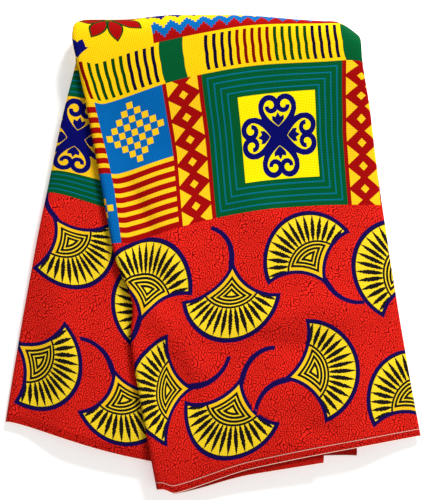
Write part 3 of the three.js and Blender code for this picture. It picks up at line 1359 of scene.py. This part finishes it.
@dataclass(frozen=True)
class FlowerPanel(Finish):
    """A yellow panel with an eight-petalled flower and a bud.

    Attributes:
        petals: how many there are.
        turn: direction of one of them, in degrees.
        petal: length and half the width of one.
        petal_shape: how near its tip a petal is widest.
        outline: width of its dark edge.
        bud_place: foot of the bud, from the middle of the flower.
        bud_leaf: length and half the width of one of its leaves.
        bud_direction: where its middle leaf points, in degrees.
        bud_turn: degrees from leaf to leaf.
        bud_spread: how steep the sides of the bud are.
    """

    petals: int = 8
    turn: float = 83.0
    petal: tuple[float, float] = (39.0, 8.2)
    petal_shape: float = 1.25
    outline: float = 1.9
    bud_place: tuple[float, float] = (-53.0, -50.0)
    bud_leaf: tuple[float, float] = (25.0, 4.8)
    bud_direction: float = 90.0
    bud_turn: float = 28.0
    bud_spread: float = 0.9

    def petals_at(self, graph: Graph, place: tuple[Value, Value], turn: float, pitch: float,
                  size: tuple[float, float]) -> Value:
        """Draws petals around a point.

        Args:
            graph: the nodes to draw with.
            place: x and y from the point.
            turn: direction of one petal, in degrees.
            pitch: degrees from petal to petal.
            size: length and half the width of a petal.

        Returns:
            How deep a place is inside the nearest petal.
        """
        angle = graph.math("ARCTAN2", place[1], place[0])
        angle = angle.repeated(math.radians(pitch), math.radians(turn))
        reach = graph.length(*place)
        share = (reach * graph.math("COSINE", angle)) / size[0] & 1.0
        width = graph.math("SINE", share**self.petal_shape * math.pi) * size[1]
        return width - abs(reach * graph.math("SINE", angle))

    def paint(self, graph: Graph) -> Paint:
        """Draws the bud and then the flower."""
        _, x, y = graph.map("print")
        bud_x, bud_y = x - self.bud_place[0], y - self.bud_place[1]
        leaves = (bud_x, bud_y), self.bud_direction, self.bud_turn, self.bud_leaf
        bud = self.petals_at(graph, *leaves) > 0.0
        bud = bud * (bud_y > abs(bud_x) * self.bud_spread)
        colour = graph.mix(bud, DYES.corn, DYES.navy)
        flower = self.petals_at(graph, (x, y), self.turn, 360.0 / self.petals, self.petal)
        colour = graph.mix(flower > 0.0, colour, DYES.leaf)
        return graph.mix(flower > self.outline, colour, DYES.crimson)


@dataclass(frozen=True)
class ZigzagBand(Finish):
    """Stepped zigzags of crimson, blue, yellow and navy."""

    pitch: float = 17.6
    start: float = 13.0
    rise: float = 10.0
    steps: int = 3
    edges: tuple[float, float, float] = (5.0, 17.0, 30.0)

    def paint(self, graph: Graph) -> Paint:
        """Draws each colour above the last, with the same steps."""
        _, x, y = graph.map("print")
        wave = abs(x.repeated(self.pitch, self.start)) * (2 * self.steps / self.pitch)
        level = y - graph.math("ROUND", wave) * (self.rise / self.steps)
        colour: Paint = DYES.crimson
        for edge, above in zip(self.edges, (DYES.blue, DYES.corn, DYES.navy)):
            colour = graph.mix(level > edge, colour, above)
        return colour


FINISHES: dict[Zone, Finish] = {
    Zone.SELVEDGE: Selvedge(),
    Zone.RED_GROUND: FanGround(),
    Zone.GREEN_SQUARE: GreenSquare(),
    Zone.LATTICE: Lattice(),
    Zone.CHEQUER_BLOCK: ChequerBlock(),
    Zone.STRIPE_BLOCK: StripeBlock(),
    Zone.BAR_BAND: BarBand(),
    Zone.FLOWER_PANEL: FlowerPanel(),
    Zone.ZIGZAG_BAND: ZigzagBand(),
}


@dataclass(frozen=True)
class Spacing:
    """How closely the grid is ruled between two places."""

    start: float
    end: float
    step: float


def ruled(start: float, end: float, borders: set[float], coarse: float,
          closer: Sequence[Spacing]) -> Array:
    """Rules a line of places that holds every border and is close where it should be.

    Args:
        start: first place.
        end: last place.
        borders: places that have to be there.
        coarse: largest step.
        closer: stretches with smaller steps.

    Returns:
        The places, rising.
    """
    knots = {start, end} | {b for b in borders if start < b < end}
    knots |= {edge for band in closer for edge in (band.start, band.end) if start < edge < end}
    ordered = sorted(knots)
    places = [np.array([start])]
    for low, high in zip(ordered, ordered[1:]):
        middle = (low + high) / 2
        step = min([band.step for band in closer if band.start < middle < band.end] + [coarse])
        places.append(np.linspace(low, high, max(1, round((high - low) / step)) + 1)[1:])
    return np.concatenate(places)


@dataclass
class KenteCloth:
    """The folded and printed cloth, made as one sheet."""

    folding: Folding
    layout: Layout
    weave: Weave = Weave()
    thickness: float = 1.0
    hard_edge: float = 50.0
    coarse_column: float = 12.0
    coarse_row: float = 14.0
    columns: Sequence[Spacing] = (
        Spacing(-160, 232, 5.5),
        Spacing(198, 232, 2.4),
        Spacing(-160, -85, 2.6),
        Spacing(-470, -380, 3.5),
        Spacing(-830, -590, 5.5),
        Spacing(-830, -800, 2.4),
    )
    rows: Sequence[Spacing] = (
        Spacing(0, 660, 7.0),
        Spacing(500, 640, 4.6),
    )

    def build(self) -> bpy.types.Object:
        """Makes the sheet, folds it and dresses it.

        Returns:
            The finished piece.
        """
        start, end = self.folding.length
        borders = self.layout.lengthwise_lines(start, end)
        lengthwise = ruled(start, end, borders, self.coarse_column, self.columns)
        borders = self.layout.crosswise_lines()
        across = ruled(0.0, self.folding.width, borders, self.coarse_row, self.rows)
        piece = self.flat_grid(len(lengthwise), len(across))
        column, row = self.grid_places(piece, len(lengthwise), len(across))
        self.lay(piece, self.folding.fold(lengthwise, across)[row, column])
        self.print_on(piece, lengthwise[column], across[row])
        self.thicken(piece)
        return piece

    def flat_grid(self, columns: int, rows: int) -> bpy.types.Object:
        """Adds the flat sheet as a plain grid."""
        bpy.ops.object.select_all(action="DESELECT")
        bpy.ops.mesh.primitive_grid_add(x_subdivisions=columns - 1, y_subdivisions=rows - 1, size=2.0)
        piece = bpy.context.object
        piece.name = "printed_cloth"
        return piece

    def grid_places(self, piece: bpy.types.Object, columns: int, rows: int) -> tuple[Array, Array]:
        """Reads the column and row of each corner of the flat grid."""
        flat = np.empty(len(piece.data.vertices) * 3)
        piece.data.vertices.foreach_get("co", flat)
        share = (flat.reshape(-1, 3)[:, :2] + 1.0) / 2
        column, row = np.rint(share * (columns - 1, rows - 1)).astype(int).T
        return column, row

    def lay(self, piece: bpy.types.Object, points: Array) -> None:
        """Moves the grid's corners to the folded shape, centred where the solid is."""
        low, high = (np.array(corner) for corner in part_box("cloth"))
        middle = (points.min(axis=0) + points.max(axis=0)) / 2 * MM
        placed = points * MM
        placed[:, :2] += ((low + high) / 2 - middle)[:2]
        piece.data.vertices.foreach_set("co", placed.ravel())
        piece.data.update()

    def print_on(self, piece: bpy.types.Object, lengthwise: Array, across: Array) -> None:
        """Gives the sheet its printed fields and the maps that draw them.

        Args:
            piece: the sheet.
            lengthwise: place of each corner along the length.
            across: place of each corner across the width.
        """
        mesh = piece.data
        corners = np.empty(len(mesh.loops), dtype=int)
        mesh.loops.foreach_get("vertex_index", corners)
        along, over = lengthwise[corners], across[corners]
        centre_along, centre_over = (part.reshape(-1, 4).mean(axis=1) for part in (along, over))
        zones, origins = self.layout.zones(centre_along, centre_over)
        by_corner = np.repeat(origins, 4, axis=0)
        folded_over = self.layout.over(over)
        local = np.stack([along - by_corner[:, 0], folded_over - by_corner[:, 1]], axis=1)
        fans, nearest = self.layout.nearest_fans(centre_along, centre_over)
        owner = np.repeat(np.where(zones == Zone.RED_GROUND.value, nearest, -1), 4)
        for number, fan in enumerate(fans):
            mine = owner == number
            local[mine] = np.stack(fan.local(along[mine], folded_over[mine]), axis=1)
        for name, places in (("cloth", np.stack([along, over], axis=1)), ("print", local)):
            mesh.uv_layers.new(name=name).data.foreach_set("uv", places.astype(np.float32).ravel())
        for zone in Zone:
            name = "printed_" + zone.name.lower()
            mesh.materials.append(FINISHES[zone].material(name, self.weave))
        mesh.polygons.foreach_set("material_index", zones.astype(np.int32))

    def thicken(self, piece: bpy.types.Object) -> None:
        """Gives the sheet its thickness and soft shading."""
        solid = piece.modifiers.new("thickness", "SOLIDIFY")
        solid.thickness = self.thickness * MM
        solid.offset = 0.0
        bpy.ops.object.modifier_apply(modifier=solid.name)
        bpy.ops.object.shade_smooth_by_angle(angle=math.radians(self.hard_edge))

    def declare(self, piece: bpy.types.Object) -> None:
        """Hangs the piece under the root body and hides the CAD part that it stands in for."""
        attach(piece, "root")
        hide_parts("cloth")


@dataclass(frozen=True)
class SoftLamp:
    """A large soft lamp aimed at the middle of the cloth."""

    name: str
    place: tuple[float, float, float]
    size: float
    power: float


@dataclass
class Studio:
    """Floor, light and camera."""

    floor_size: float = 60.0
    floor_drop: float = 0.0004
    floor_dye: Colour = (0.93, 0.93, 0.915)
    floor_roughness: float = 0.7
    floor_gloss: float = 0.2
    floor_glow: float = 0.45
    sky: float = 0.34
    lamps: Sequence[SoftLamp] = (
        SoftLamp("key_lamp", (0.8, 1.7, 1.45), 0.7, 75.0),
        SoftLamp("fill_lamp", (0.9, -0.9, 2.0), 2.0, 12.0),
    )
    target: tuple[float, float, float] = (0.005, -0.0017, 0.025)
    elevation: float = 82.0
    distance: float = 1.5
    frame_height: float = 0.615
    sensor: float = 24.0

    def build(self) -> None:
        """Makes the whole studio."""
        self.make_floor()
        for lamp in self.lamps:
            self.make_lamp(lamp)
        self.make_sky()
        self.make_camera()

    def make_floor(self) -> None:
        """Lays a pale floor just under the cloth."""
        bpy.ops.object.select_all(action="DESELECT")
        bpy.ops.mesh.primitive_plane_add(size=self.floor_size)
        floor = bpy.context.object
        floor.name = "floor"
        floor.data.transform(Matrix.Translation((0.0, 0.0, -self.floor_drop)))
        sockets = {"Base Color": self.floor_dye, "Roughness": self.floor_roughness,
                   "Specular IOR Level": self.floor_gloss, "Emission Color": self.floor_dye,
                   "Emission Strength": self.floor_glow}
        floor.data.materials.append(Graph("pale_floor").finished(sockets))

    def make_lamp(self, lamp: SoftLamp) -> None:
        """Hangs one lamp."""
        aim = Vector(self.target) - Vector(lamp.place)
        turn = aim.to_track_quat("-Z", "Y").to_euler()
        bpy.ops.object.light_add(type="AREA", location=lamp.place, rotation=turn)
        light = bpy.context.object
        light.name = lamp.name
        light.data.shape = "DISK"
        light.data.size = lamp.size
        light.data.energy = lamp.power

    def make_sky(self) -> None:
        """Fills the room with even light."""
        world = bpy.data.worlds.new("even_light")
        world.use_nodes = True
        background = world.node_tree.nodes["Background"]
        background.inputs["Color"].default_value = (1.0, 1.0, 1.0, 1.0)
        background.inputs["Strength"].default_value = self.sky
        bpy.context.scene.world = world
        bpy.context.scene.view_settings.view_transform = "Standard"

    def make_camera(self) -> None:
        """Sets the camera nearly straight above the cloth."""
        lift = math.radians(self.elevation)
        back = Vector((0.0, -math.cos(lift), math.sin(lift)))
        turn = (-back).to_track_quat("-Z", "Y").to_euler()
        bpy.ops.object.camera_add(location=Vector(self.target) + back * self.distance, rotation=turn)
        camera = bpy.context.object
        camera.name = "photo_camera"
        camera.data.sensor_fit = "VERTICAL"
        camera.data.sensor_height = self.sensor
        camera.data.lens = self.sensor * self.distance / self.frame_height
        bpy.context.scene.camera = camera


def main() -> None:
    """Builds the studio and the cloth and reports the piece."""
    logging.basicConfig(level=logging.INFO)
    Studio().build()
    folding = Folding()
    cloth = KenteCloth(folding, Layout(folding.width))
    piece = cloth.build()
    cloth.declare(piece)
    mesh = piece.data
    LOG.info("%s: %d faces, %d finishes", piece.name, len(mesh.polygons), len(mesh.materials))


if __name__ == "__main__":
    main()
